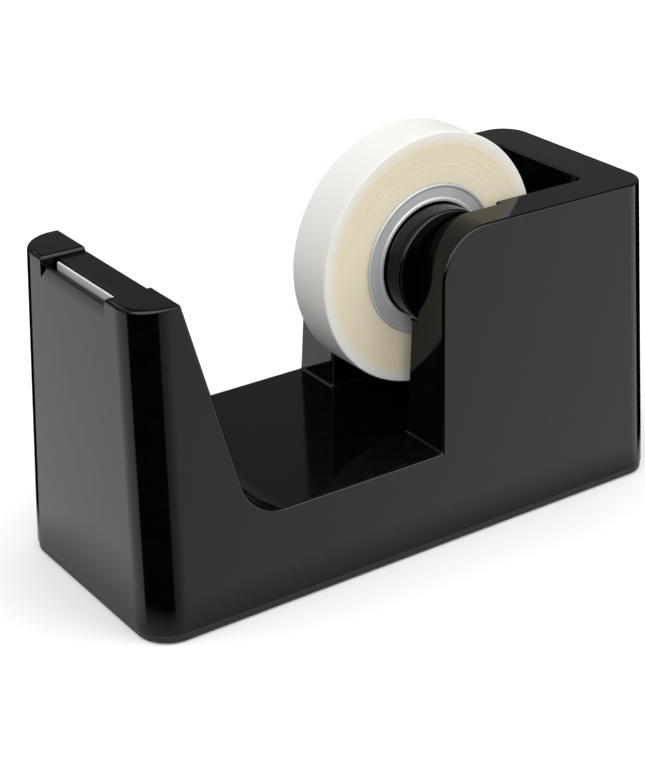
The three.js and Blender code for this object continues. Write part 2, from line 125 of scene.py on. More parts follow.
def rounded(corners, arc_step=ARC_STEP, fewest=3):
    """Closed outline from (u, v, radius) corners; a radius of 0 stays sharp."""
    points = []
    for i, (u, v, radius) in enumerate(corners):
        here = Vector((u, v))
        if radius == 0:
            points.append(here)
            continue
        before = (Vector(corners[i - 1][:2]) - here).normalized()
        after = (Vector(corners[(i + 1) % len(corners)][:2]) - here).normalized()
        half_angle = before.angle(after) / 2
        reach = radius / math.tan(half_angle)
        middle = here + (before + after).normalized() * radius / math.sin(half_angle)
        start = here + before * reach - middle
        end = here + after * reach - middle
        first = math.atan2(start.y, start.x)
        turn = math.remainder(math.atan2(end.y, end.x) - first, 2 * math.pi)
        steps = max(fewest, math.ceil(abs(turn) * radius / arc_step))
        for step in range(steps + 1):
            angle = first + turn * step / steps
            points.append(middle + radius * Vector((math.cos(angle), math.sin(angle))))
    apart = [p for i, p in enumerate(points) if (p - points[i - 1]).length > 1e-3]
    return [tuple(p) for p in apart]


def rounded_rectangle(front, back, half, front_corner, back_corner):
    return rounded([
        (front, -half, front_corner),
        (back, -half, back_corner),
        (back, half, back_corner),
        (front, half, front_corner),
    ])


# ---------- meshes ----------

def mesh_object(name, vertices, faces):
    mesh = bpy.data.meshes.new(name)
    mesh.from_pydata(vertices, [], faces)
    made = bpy.data.objects.new(name, mesh)
    bpy.context.scene.collection.objects.link(made)
    tidy = bmesh.new()
    tidy.from_mesh(mesh)
    bmesh.ops.remove_doubles(tidy, verts=tidy.verts, dist=1e-4)
    bmesh.ops.recalc_face_normals(tidy, faces=tidy.faces)
    tidy.to_mesh(mesh)
    tidy.free()
    return made


def prism(name, outline, low, high, place):
    """Closed prism: place(u, v, w) puts an outline point at level w into the frame."""
    count = len(outline)
    vertices = [place(u, v, w) for w in (low, high) for u, v in outline]
    sides = [(i, (i + 1) % count, count + (i + 1) % count, count + i) for i in range(count)]
    ends = [tuple(range(count)), tuple(range(count, 2 * count))]
    return mesh_object(name, vertices, sides + ends)


def upright(name, outline, bottom, top):
    return prism(name, outline, bottom, top, lambda x, y, z: (x, y, z))


def drafted(name, outline, bottom, top, drafts, level):
    """Upright prism with each end drawn in by the drafts times its rise over a level.

    The sides count only the size of the rise, so both ends are drawn in there.
    """
    front, back, side = drafts

    def place(x, y, z):
        rise = z - level
        leaned_x = x + front * rise if x < 0 else x - back * rise
        return leaned_x, y - math.copysign(side * rise, y), z

    return prism(name, outline, bottom, top, place)


def across(name, outline, low, high):
    """Outline in X and Z carried along Y."""
    return prism(name, outline, low, high, lambda x, z, y: (x, y, z))


def block(name, low, high):
    outline = [(low[0], low[1]), (high[0], low[1]), (high[0], high[1]), (low[0], high[1])]
    return upright(name, outline, low[2], high[2])


def rod(name, radius, start, end, steps=48):
    """Round rod between two points."""
    start, end = Vector(start), Vector(end)
    turn = (end - start).to_track_quat("Z", "Y")
    angles = [math.tau * i / steps for i in range(steps)]
    circle = [(radius * math.cos(angle), radius * math.sin(angle)) for angle in angles]

    def place(u, v, w):
        return start + turn @ Vector((u, v, w))

    return prism(name, circle, 0, (end - start).length, place)


def turned(name, profile, steps=160):
    """Closed (radius, y) profile turned about the reel's axis."""
    vertices = []
    for step in range(steps):
        angle = math.tau * step / steps
        for radius, y in profile:
            x = REEL.x + radius * math.cos(angle)
            vertices.append((x, y, REEL.z + radius * math.sin(angle)))
    count = len(profile)
    faces = []
    for step in range(steps):
        here, there = step * count, (step + 1) % steps * count
        for i in range(count):
            j = (i + 1) % count
            if profile[i][0] > 0 or profile[j][0] > 0:
                faces.append((here + i, here + j, there + j, there + i))
    return mesh_object(name, vertices, faces)


# ---------- mesh tools ----------

def settle(made):
    """Replaces an object's modifiers by the mesh that they give."""
    graph = bpy.context.evaluated_depsgraph_get()
    mesh = bpy.data.meshes.new_from_object(made.evaluated_get(graph))
    made.modifiers.clear()
    made.data = mesh


def combine(operation, made, tools):
    for tool in tools:
        step = made.modifiers.new("combine", "BOOLEAN")
        step.operation = operation
        step.solver = "EXACT"
        step.object = tool
        settle(made)
        bpy.data.objects.remove(tool)
    tidy = bmesh.new()
    tidy.from_mesh(made.data)
    bmesh.ops.remove_doubles(tidy, verts=tidy.verts, dist=1e-3)
    bmesh.ops.dissolve_limit(
        tidy, angle_limit=math.radians(0.2), verts=tidy.verts, edges=tidy.edges
    )
    tidy.to_mesh(made.data)
    tidy.free()
    return made


def cut(made, *tools):
    return combine("DIFFERENCE", made, tools)


def joined(made, *tools):
    return combine("UNION", made, tools)


def round_edges(made, radius, share=None, segments=4):
    """Rounds the sharp edges. share(edge) may give each edge its part of the radius."""
    marked = bmesh.new()
    marked.from_mesh(made.data)
    weights = marked.edges.layers.float.new("bevel_weight_edge")
    for edge in marked.edges:
        if len(edge.link_faces) == 2 and edge.calc_face_angle() > SHARP:
            edge[weights] = share(edge) if share else 1
    marked.to_mesh(made.data)
    marked.free()
    bevel = made.modifiers.new("round", "BEVEL")
    bevel.limit_method = "WEIGHT"
    bevel.width = radius
    bevel.segments = segments
    bevel.material = 1
    bevel.use_clamp_overlap = False
    settle(made)
    return made


def smoothed(made):
    """Shades the piece smooth up to its creases, with normals led by the large faces."""
    shaded = bmesh.new()
    shaded.from_mesh(made.data)
    for face in shaded.faces:
        face.smooth = True
    for edge in shaded.edges:
        edge.smooth = len(edge.link_faces) == 2 and edge.calc_face_angle() < CREASE
    shaded.to_mesh(made.data)
    shaded.free()
    normals = made.modifiers.new("normals", "WEIGHTED_NORMAL")
    normals.keep_sharp = True
    normals.weight = 100
    settle(made)


def finished(made, body, slot, materials, *nodes):
    """Scales a piece to metres, gives it its finish and puts it on its body."""
    made.data.transform(Matrix.Scale(MM, 4))
    smoothed(made)
    made.data.materials.clear()
    for material in materials:
        made.data.materials.append(material)
    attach(made, body)
    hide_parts(*nodes)
    return made


# ---------- node trees ----------

def add(tree, kind, inputs=None, **settings):
    """Adds a node. Each input is a value, or another node's output socket to link."""
    made = tree.nodes.new(kind)
    for key, value in settings.items():
        setattr(made, key, value)
    for key, value in (inputs or {}).items():
        if isinstance(value, bpy.types.NodeSocket):
            tree.links.new(value, made.inputs[key])
        else:
            made.inputs[key].default_value = value
    return made


def noise(tree, place, scale, detail=3, roughness=0.5):
    values = {"Vector": place, "Scale": scale, "Detail": detail, "Roughness": roughness}
    return add(tree, "ShaderNodeTexNoise", values).outputs["Fac"]


def remap(tree, value, low, high, to_low, to_high):
    """Carries low..high over to to_low..to_high, and stays inside it."""
    inputs = {"Value": value, "From Min": low, "From Max": high, "To Min": to_low, "To Max": to_high}
    return add(tree, "ShaderNodeMapRange", inputs).outputs["Result"]


def maths(tree, operation, *values):
    """One sum on the values, taken in their order."""
    result = values[0]
    for value in values[1:]:
        result = add(tree, "ShaderNodeMath", {0: result, 1: value}, operation=operation).outputs[0]
    return result


def vector_maths(tree, operation, *vectors, output="Vector"):
    inputs = dict(enumerate(vectors))
    return add(tree, "ShaderNodeVectorMath", inputs, operation=operation).outputs[output]


def mixed(tree, share, first, second):
    made = add(tree, "ShaderNodeMix", {"Factor": share}, data_type="RGBA")
    for socket, colour in ((made.inputs[6], first), (made.inputs[7], second)):
        if isinstance(colour, bpy.types.NodeSocket):
            tree.links.new(colour, socket)
        else:
            socket.default_value = (*colour, 1)
    return made.outputs[2]


def bumped(tree, height, distance, strength=1, under=None):
    inputs = {"Height": height, "Distance": distance, "Strength": strength}
    if under:
        inputs["Normal"] = under
    return add(tree, "ShaderNodeBump", inputs).outputs["Normal"]


def new_material(name):
    """A material, its node tree, its shader and the coordinates of a point on the piece."""
    material = bpy.data.materials.new(name)
    material.use_nodes = True
    tree = material.node_tree
    shader = tree.nodes["Principled BSDF"]
    place = add(tree, "ShaderNodeTexCoord").outputs["Object"]
    return material, tree, shader, place


def connect(tree, shader, **inputs):
    """Sets the shader's inputs: a word's underscores stand for spaces."""
    for key, value in inputs.items():
        socket = shader.inputs[key.replace("_", " ").title().replace("Ior", "IOR")]
        if isinstance(value, bpy.types.NodeSocket):
            tree.links.new(value, socket)
        else:
            socket.default_value = value


# ---------- materials ----------

def gloss_black(name, worn):
    """Polished black moulding: faint flow in the gloss, fine haze and handling marks."""
    material, tree, shader, place = new_material(name)
    flow = noise(tree, place, 45, 2)
    haze = noise(tree, place, 900, 4, 0.7)
    rubbed = remap(tree, noise(tree, place, 260, 4, 0.65), 0.45, 0.7, 0, worn)
    colour = mixed(tree, rubbed, (0.0012, 0.0012, 0.0013), (0.012, 0.012, 0.0125))
    even_gloss = remap(tree, flow, 0.3, 0.7, 0.07, 0.1)
    rubbed_gloss = maths(tree, "MULTIPLY", rubbed, 0.22)
    gloss = maths(tree, "ADD", even_gloss, rubbed_gloss, remap(tree, haze, 0.5, 0.75, 0, 0.03))
    peel = bumped(tree, noise(tree, place, 210, 2), 0.00004, 0.25)
    peel = bumped(tree, haze, 0.000006, 0.3, peel)
    connect(tree, shader, base_color=colour, roughness=gloss, normal=peel, ior=1.3)
    return material


def moulded_black():
    """Satin black moulding with a fine spark-eroded grain."""
    material, tree, shader, place = new_material("moulded_black")
    grain = noise(tree, place, 2600, 3, 0.6)
    cloud = noise(tree, place, 70, 3)
    colour = mixed(tree, cloud, (0.012, 0.012, 0.013), (0.022, 0.022, 0.023))
    connect(
        tree, shader, base_color=colour, roughness=remap(tree, grain, 0.3, 0.7, 0.33, 0.5),
        normal=bumped(tree, grain, 0.00004, 0.5), ior=1.3,
    )
    return material


def pad_rubber():
    material, tree, shader, place = new_material("pad_rubber")
    grain = noise(tree, place, 1800, 4, 0.7)
    dust = remap(tree, noise(tree, place, 150, 5, 0.7), 0.5, 0.75, 0, 1)
    colour = mixed(tree, dust, (0.016, 0.016, 0.017), (0.05, 0.049, 0.047))
    connect(
        tree, shader, base_color=colour, roughness=remap(tree, grain, 0.3, 0.7, 0.7, 0.95),
        normal=bumped(tree, grain, 0.00008, 0.6),
    )
    return material


def ballast_iron():
    """As-cast iron: sandy surface, darker in its hollows, with a few rusty patches."""
    material, tree, shader, place = new_material("ballast_iron")
    sand = noise(tree, place, 900, 5, 0.7)
    rust = remap(tree, noise(tree, place, 60, 5, 0.7), 0.52, 0.7, 0, 0.7)
    iron = mixed(tree, sand, (0.045, 0.045, 0.048), (0.13, 0.13, 0.135))
    colour = mixed(tree, rust, iron, (0.12, 0.05, 0.025))
    connect(
        tree, shader, base_color=colour, roughness=remap(tree, sand, 0.3, 0.7, 0.5, 0.75),
        metallic=remap(tree, rust, 0, 0.7, 0.8, 0.2), normal=bumped(tree, sand, 0.0002, 0.7),
    )
    return material


def steel(name, tone, scale, roughness, metallic):
    """Bright steel with a fine uneven gloss and faint stains."""
    material, tree, shader, place = new_material(name)
    grain = noise(tree, place, scale, 4, 0.7)
    stain = noise(tree, place, 120, 4, 0.6)
    darker = tuple(0.8 * value for value in tone)
    low, high = roughness
    colour = mixed(tree, remap(tree, stain, 0.35, 0.7, 0, 1), tone, darker)
    connect(
        tree, shader, base_color=colour, metallic=metallic,
        roughness=remap(tree, grain, 0.3, 0.7, low, high),
        normal=bumped(tree, grain, 0.00001, 0.5),
    )
    return material


def brake_felt():
    material, tree, shader, place = new_material("brake_felt")
    fibre = noise(tree, place, 2200, 6, 0.8)
    colour = mixed(tree, fibre, (0.028, 0.027, 0.025), (0.09, 0.086, 0.08))
    connect(
        tree, shader, base_color=colour, roughness=0.95, normal=bumped(tree, fibre, 0.0002, 0.8),
        sheen_weight=0.4,
    )
    return material


def core_grey():
    """Grey polystyrene core, slightly pearly, with faint flow lines."""
    material, tree, shader, place = new_material("core_grey")
    flow = noise(tree, place, 60, 2)
    fine = noise(tree, place, 1500, 3, 0.6)
    colour = mixed(tree, remap(tree, flow, 0.3, 0.7, 0, 1), (0.5, 0.503, 0.51), (0.59, 0.593, 0.6))
    connect(
        tree, shader, base_color=colour, metallic=0.12,
        roughness=remap(tree, fine, 0.3, 0.7, 0.28, 0.36),
        normal=bumped(tree, fine, 0.00002, 0.4), coat_weight=0.2,
        subsurface_weight=0.15, subsurface_radius=(0.002, 0.002, 0.002),
    )
    return material


def tape_film():
    """Wound film: cream on its faces, whiter towards the rim and on the outside."""
    material, tree, shader, place = new_material("tape_film")
    centred = vector_maths(tree, "ADD", place, (-REEL.x * MM, 0, -REEL.z * MM))
    across_axis = vector_maths(tree, "MULTIPLY", centred, (1, 0, 1))
    radius = vector_maths(tree, "LENGTH", across_axis, output="Value")
    outer = (ROLL_HIGH.z - REEL.z) * MM

    def rings(scale, detail):
        inputs = {"W": radius, "Scale": scale, "Detail": detail}
        return add(tree, "ShaderNodeTexNoise", inputs, noise_dimensions="1D").outputs["Fac"]

    turns = rings(9000, 4)
    cream = mixed(tree, rings(350, 2), (0.92, 0.82, 0.615), (0.93, 0.835, 0.635))
    rim = remap(tree, radius, outer - 0.0035, outer - 0.001, 0, 1)
    face = mixed(tree, rim, cream, (0.91, 0.89, 0.83))
    outside = remap(tree, radius, outer - 0.0003, outer - 0.0001, 0, 1)
    colour = mixed(tree, outside, face, (0.67, 0.665, 0.64))
    cloud = noise(tree, place, 90, 3)
    connect(
        tree, shader, base_color=colour, ior=1.3,
        roughness=remap(tree, cloud, 0.3, 0.7, 0.45, 0.6),
        normal=bumped(tree, turns, 0.00002, 0.15), specular_ior_level=0.2,
        subsurface_weight=0.5, subsurface_scale=1.0, subsurface_radius=(0.0025, 0.0022, 0.0016),
    )
    return material


GLOSS = [gloss_black("gloss_black", 0.08), gloss_black("gloss_black_edges", 0.55)]
SATIN = [moulded_black()] * 2
RUBBER = [pad_rubber()] * 2
IRON = ballast_iron()
SCREW_STEEL = steel("screw_steel", (0.56, 0.57, 0.59), 1400, (0.25, 0.4), 1)
BLADE_STEEL = steel("blade_steel", (0.7, 0.7, 0.7), 900, (0.4, 0.5), 0.35)
FELT = brake_felt()
CORE = core_grey()
FILM = tape_film()


# ---------- housing ----------

def shell_block(inset, bottom, top):
    """The housing's outer form, or with an inset the form of the hollow inside it."""
    outline = rounded_rectangle(
        SHELL_LOW.x + inset,
        SHELL_HIGH.x - inset,
        SHELL_HIGH.y - inset,
        FRONT_CORNER - inset,
        BACK_CORNER - inset,
    )
    drafts = (FRONT_DRAFT, BACK_DRAFT, SIDE_DRAFT)
    return drafted("shell_block", outline, bottom, top, drafts, SHELL_LOW.z)


def tower_back(z):
    """X of the cutter tower's leaning back at a height."""
    return CUTTER_TOWER_BACK + CUTTER_TOWER_LEAN * (TOP - z)


def valley(skin):
    """The space between the towers. A skin grows it on every side."""
    floor = VALLEY_FLOOR - skin
    shift = skin * math.hypot(1, CUTTER_TOWER_LEAN)

    def wall(z):
        return ROLL_TOWER_FRONT + ROLL_TOWER_LEAN * (z - VALLEY_FLOOR) + skin

    wall_round = ROLL_TOWER_ROUND - skin
    round_end = wall(TOP - ROLL_TOWER_ROUND) + wall_round
    outline = rounded([
        (tower_back(ABOVE) - shift, ABOVE, 0),
        (tower_back(floor) - shift, floor, VALLEY_FILLET + skin),
        (wall(floor), floor, 0),
        (wall(TOP - skin), TOP - skin, wall_round),
        (round_end, TOP - skin, 0),
        (round_end, ABOVE, 0),
    ])
    reach = 2 * SHELL_HIGH.y
    return across("valley", outline, -reach, reach)


def pocket(skin):
    """The space between the roll tower's walls, narrower towards the floor."""
    half = SLOT_HALF + skin
    corner = SLOT_CORNER + skin
    in_valley = ROLL_TOWER_FRONT - 10
    outline = rounded([
        (in_valley, -half, 0),
        (SLOT_BACK + skin, -half, corner),
        (SLOT_BACK + skin, half, corner),
        (in_valley, half, 0),
    ])
    drafts = (0, -SLOT_BACK_TAPER, -SLOT_TAPER)
    return drafted("pocket", outline, VALLEY_FLOOR - skin, ABOVE, drafts, TOP)


def seats(skin):
    """The open-topped seats of the reel's discs, through both walls at once."""
    radius = SEAT_RADIUS + skin
    low = SEAT_MIDDLE - radius
    outline = rounded([
        (REEL.x - radius, ABOVE, 0),
        (REEL.x - radius, low, radius),
        (REEL.x + radius, low, radius),
        (REEL.x + radius, ABOVE, 0),
    ])
    return across("seats", outline, -SEAT_HALF - skin, SEAT_HALF + skin)


def rim_cut():
    """Takes the front wall between the caps down to its rim, with a slope up to the rim."""
    start = RIM_TOP - RIM_SLOPE_HEIGHT
    front = SHELL_LOW.x + FRONT_DRAFT * (start - SHELL_LOW.z)
    behind = RIM_BACK + 1
    outline = [
        (AHEAD, start),
        (front, start),
        (front + RIM_SLOPE_DEPTH, RIM_TOP),
        (behind, RIM_TOP),
        (behind, ABOVE),
        (AHEAD, ABOVE),
    ]
    return across("rim", outline, -RECESS_HALF, RECESS_HALF)


def recess(skin):
    """The space of the cutter bar. With a skin it also keeps the hollow out of the rim."""
    front = AHEAD if skin else RIM_BACK
    in_valley = CUTTER_TOWER_BACK + 20
    low = (front, -RECESS_HALF - skin, RECESS_FLOOR - skin)
    return block("recess", low, (in_valley, RECESS_HALF + skin, ABOVE))


def cutter_top_share(edge, middle):
    """Part of EDGE_ROUND for an edge at the cutter tower's top, whose back is crisp."""
    crisp = 0.25
    on_back = middle.x > tower_back(middle.z) - NEAR
    if on_back:
        return crisp
    from_recess = abs(middle.y) - RECESS_HALF
    between_caps = from_recess < -0.1
    if between_caps:
        on_rim = middle.z > RIM_TOP - NEAR
        return 0.2 if on_rim else 0.8
    on_cap = from_recess > 0.1
    if on_cap:
        past_front = (middle.x - SHELL_LOW.x - 1) / FRONT_CORNER
        return max(crisp, 1 - (1 - crisp) * past_front)
    run = (edge.verts[1].co - edge.verts[0].co).normalized()
    along_top = abs(run.z) <= 0.5 and middle.z >= TOP - NEAR
    if along_top:
        return 0.6
    return crisp if edge.is_convex and middle.z > RIM_TOP else 0


def housing_edge_share(edge):
    """Part of EDGE_ROUND for an edge of the housing, by where it is and how it runs."""
    middle = (edge.verts[0].co + edge.verts[1].co) / 2
    on_lower_edge = middle.z < SHELL_LOW.z + 1
    if on_lower_edge:
        return 0.1
    on_cutter_top = middle.z > RECESS_FLOOR - 1 and middle.x < tower_back(middle.z) + NEAR
    return cutter_top_share(edge, middle) if on_cutter_top else 0.5


def housing():
    shell = shell_block(0, SHELL_LOW.z, TOP)
    cut(shell, valley(0), pocket(0), seats(0), recess(0), rim_cut())
    round_edges(shell, EDGE_ROUND, housing_edge_share)
    hollow = shell_block(SKIN, SHELL_LOW.z - 5, TOP - SKIN)
    cut(hollow, valley(SKIN), pocket(SKIN), seats(SKIN), recess(SKIN))
    cut(shell, hollow)
    shell.name = "housing_shell"
    return finished(shell, "base", "gloss_black", GLOSS, "housing")


# ---------- cutter ----------

def cutter_bar():
    """Bar with a narrow slot near its front edge, which holds the blade."""
    slot_front, slot_back = BLADE_LOW.x - GAP, BLADE_HIGH.x + GAP
    slot_floor = BLADE_LOW.z - GAP
    outline = [
        (BAR_LOW.x, BAR_LOW.z),
        (tower_back(BAR_LOW.z), BAR_LOW.z),
        (tower_back(BAR_HIGH.z), BAR_HIGH.z),
        (slot_back, BAR_HIGH.z),
        (slot_back, slot_floor),
        (slot_front, slot_floor),
        (slot_front, LIP_TOP),
        (BAR_LOW.x, LIP_TOP),
    ]
    bar = across("cutter_bar_moulding", outline, BAR_LOW.y, BAR_HIGH.y)
    round_edges(bar, radius=0.25, segments=3)
    return finished(bar, "base", "gloss_black", GLOSS, "cutter_bar")


def cutter_blade():
    """Steel strip with fine teeth along its upper edge."""
    pitch = 0.78
    roots = BLADE_HIGH.z - 0.3
    length = BLADE_HIGH.y - BLADE_LOW.y
    teeth = round(length / pitch)
    pitch = length / teeth
    edge = []
    for i in range(teeth):
        start = BLADE_LOW.y + i * pitch
        edge += [(start, roots), (start + pitch / 2, BLADE_HIGH.z)]
    edge.append((BLADE_HIGH.y, roots))
    outline = [(BLADE_LOW.y, BLADE_LOW.z), *edge, (BLADE_HIGH.y, BLADE_LOW.z)]
    blade = prism(
        "cutter_blade_ground", outline, BLADE_LOW.x, BLADE_HIGH.x, lambda y, z, x: (x, y, z)
    )
    round_edges(blade, radius=0.06, segments=2)
    return finished(blade, "base", "blade_steel", [BLADE_STEEL] * 2, "cutter_blade")


# ---------- base ----------

PLATE_INSET = 0.4
PLATE_FLANGE_TOP = 2.1
PLATE_TOP = 3.4
PAD_CORNER = 3
RIB_HALF_SPACING = 14
RIB_HALF_WIDTH = 1
RIB_END = 14  # each rib stops this far from the ends of the housing
OVERLAP = 0.5  # of shapes that are joined
PAD_POCKET = 1.5  # height of the pockets' tops, over the pads
HEAD_POCKET = 1.3  # depth of the screw heads' holes over the heads' undersides
PADS = ("anti_slip_pad_front", "anti_slip_pad_back")


def base_plate():
    front, back = PLATE_LOW.x, PLATE_HIGH.x
    half = PLATE_HIGH.y
    outline = rounded_rectangle(
        front, back, half, FRONT_CORNER - PLATE_INSET, BACK_CORNER - PLATE_INSET
    )
    plate = upright("base_plate_moulding", outline, PLATE_LOW.z, PLATE_FLANGE_TOP)
    step = SKIN + 0.2  # in from the flange's edge to the part inside the housing
    inner = rounded_rectangle(
        front + step, back - step, half - step, FRONT_CORNER - step, BACK_CORNER - step
    )
    joined(plate, upright("inner", inner, PLATE_FLANGE_TOP - OVERLAP, PLATE_TOP))
    for side in (-RIB_HALF_SPACING, RIB_HALF_SPACING):
        low = (SHELL_LOW.x + RIB_END, side - RIB_HALF_WIDTH, PLATE_TOP - 2 * OVERLAP)
        high = (SHELL_HIGH.x - RIB_END, side + RIB_HALF_WIDTH, PLATE_HIGH.z)
        joined(plate, block("rib", low, high))
    tools = [pad_block(node, GAP, BELOW, PAD_POCKET) for node in PADS]
    screws = [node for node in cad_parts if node.startswith(("base_screw", "ballast_screw"))]
    for node in sorted(screws):
        tools += screw_holes(node)
    cut(plate, *tools)
    round_edges(plate, radius=0.25, segments=3)
    return finished(plate, "base", "moulded_black", SATIN, "base_plate")


def screw_holes(node):
    """Cutting shapes for a screw's head and shank, up through the base plate."""
    low, high = box_mm(node)
    x, y = (low.x + high.x) / 2, (low.y + high.y) / 2
    head = (high.x - low.x) / 2 + GAP
    shank = 0.6 * head
    return [
        rod("head_hole", head, (x, y, BELOW), (x, y, low.z + HEAD_POCKET)),
        rod("shank_hole", shank, (x, y, BELOW), (x, y, PLATE_TOP + 1)),
    ]


def pad_block(node, grow, bottom, top):
    """A pad's outline, grown on every side, between two heights."""
    low, high = box_mm(node)
    outline = rounded_rectangle(
        low.x - grow, high.x + grow, high.y + grow, PAD_CORNER + grow, PAD_CORNER + grow
    )
    return upright(f"{node}_tread", outline, bottom, top)


def anti_slip_pad(node):
    """Rubber pad with shallow grooves across its tread."""
    low, high = box_mm(node)
    pad = pad_block(node, 0, low.z, high.z)
    grooves = 5
    half_width = depth = 0.4
    spacing = (high.x - low.x) / (grooves + 1)
    for i in range(grooves):
        x = low.x + (i + 1) * spacing
        start = (x - half_width, low.y - 1, low.z - 1)
        end = (x + half_width, high.y + 1, low.z + depth)
        cut(pad, block("groove", start, end))
    round_edges(pad, radius=0.15, segments=2)
    return finished(pad, "base", "pad_rubber", RUBBER, node)


# ---------- reel ----------

BORE_RADIUS = SHAFT_RADIUS + GAP  # of what sits on the shaft
FINE_STEP = 0.15  # length of each straight piece of a turned piece's arcs


def disc_corners(outer, inner):
    """Profile corners of an end disc, from its dished outer face to its inner face."""
    dish = math.copysign(0.5, outer)
    rim = 2.4  # width of the flat rim round the dish
    slope = 0.6
    return [
        (DISC_RADIUS - rim - slope, outer - dish, 0.3),
        (DISC_RADIUS - rim, outer, 0.3),
        (DISC_RADIUS, outer, 0.5),
        (DISC_RADIUS, inner, 0.15),
    ]


def spindle():
    """Shaft with one end disc."""
    outer, inner = SPINDLE_LOW.y, -DISC_LOW.y
    corners = disc_corners(outer, inner)
    profile = rounded([
        (0, corners[0][1], 0),
        *corners,
        (SHAFT_RADIUS, inner, 0),
        (SHAFT_RADIUS, SPINDLE_HIGH.y, 0.3),
        (0, SPINDLE_HIGH.y, 0),
    ], FINE_STEP)
    made = turned("spindle_turned", profile)
    return finished(made, "reel", "gloss_black", GLOSS[:1], "spindle")


def loose_disc():
    outer, inner = DISC_HIGH.y, DISC_LOW.y
    corners = disc_corners(outer, inner)
    profile = rounded([(BORE_RADIUS, corners[0][1], 0), *corners, (BORE_RADIUS, inner, 0)], FINE_STEP)
    made = turned("loose_disc_turned", profile)
    return finished(made, "reel", "gloss_black", GLOSS[:1], "spindle_loose_disc")


def drum():
    """Drum with a recess in each end and four grip ribs that hold the core."""
    half = DRUM_HIGH.y
    radius = 12.6
    end_recess = 10.2
    end_depth = 1.3
    profile = rounded([
        (BORE_RADIUS, -half + end_depth, 0),
        (end_recess, -half + end_depth, 0),
        (end_recess, -half, 0.2),
        (radius, -half, 0.5),
        (radius, half, 0.5),
        (end_recess, half, 0.2),
        (end_recess, half - end_depth, 0),
        (BORE_RADIUS, half - end_depth, 0),
    ], FINE_STEP)
    made = turned("drum_turned", profile)
    ribs = 4
    rib_half_width = 0.8
    rib_top = 12.95
    for i in range(ribs):
        low = (-rib_half_width, end_depth - half, rib_top - 2)
        rib = block("rib", low, (rib_half_width, half - end_depth, rib_top))
        turn = Matrix.Rotation(math.tau * (i + 0.5) / ribs, 4, "Y")
        rib.data.transform(Matrix.Translation((REEL.x, 0, REEL.z)) @ turn)
        joined(made, rib)
    return finished(made, "roll", "gloss_black", GLOSS[:1], "drum")


def tape_core():
    """Moulded core: a rounded lip round the bore and round the outside of each face."""
    outer = (CORE_HIGH.z - CORE_LOW.z) / 2
    bore = 13.25
    bore_lip, outer_lip = 0.7, 0.6
    slope = 0.3  # from each lip down to the dish between them
    dish = 0.25
    face = [
        (bore, 0, 0.3),
        (bore + bore_lip, 0, 0.3),
        (bore + bore_lip + slope, dish, 0.2),
        (outer - outer_lip - slope, dish, 0.2),
        (outer - outer_lip, 0, 0.25),
        (outer, 0, 0.3),
    ]
    near_face = [(radius, CORE_LOW.y + depth, corner) for radius, depth, corner in face]
    far_face = [(radius, CORE_HIGH.y - depth, corner) for radius, depth, corner in reversed(face)]
    profile = rounded(near_face + far_face, FINE_STEP)
    made = turned("core_moulded", profile, 200)
    return finished(made, "roll", "core_grey", [CORE], "tape_core")


def tape_roll():
    """Wound film: each face is a stack of turns, some a hair prouder than others."""
    chance = random.Random(7)
    low, high = ROLL_LOW.y, ROLL_HIGH.y
    inner = (CORE_HIGH.z - CORE_LOW.z) / 2 + 0.05
    outer = (ROLL_HIGH.z - ROLL_LOW.z) / 2
    turns = 44
    edge = 0.45
    edge_steps = 6
    pitch = (outer - edge - inner) / turns

    def face(y, out):
        """The turns' edges, each sunk a little into the roll from the level y."""
        radii = [inner + (i + 0.5) * pitch for i in range(turns)]
        return [(radius, y - out * chance.uniform(0, 0.05)) for radius in radii]

    near_edge = []
    for i in range(edge_steps + 1):
        angle = math.pi / 2 * i / edge_steps
        radius = outer - edge + edge * math.sin(angle)
        near_edge.append((radius, low + edge - edge * math.cos(angle)))
    far_edge = [(radius, low + high - y) for radius, y in reversed(near_edge)]
    near_face = face(low, -1)
    far_face = reversed(face(high, 1))
    profile = [(inner, low), *near_face, *near_edge, *far_edge, *far_face, (inner, high)]
    made = turned("tape_wound", profile, 256)
    return finished(made, "roll", "tape_film", [FILM], "tape_roll")


# ---------- studio ----------

def card(tree, azimuth, middle, half, soft, strength):
    """Light of a card that stands round a compass direction; angles are in degrees."""
    away = maths(tree, "SUBTRACT", azimuth, math.radians(middle))
    half_turn = {0: away, 1: math.pi, 2: -math.pi}
    away = add(tree, "ShaderNodeMath", half_turn, operation="WRAP").outputs[0]
    away = add(tree, "ShaderNodeMath", {0: away}, operation="ABSOLUTE").outputs[0]
    return remap(tree, away, math.radians(half), math.radians(half + soft), strength, 0)


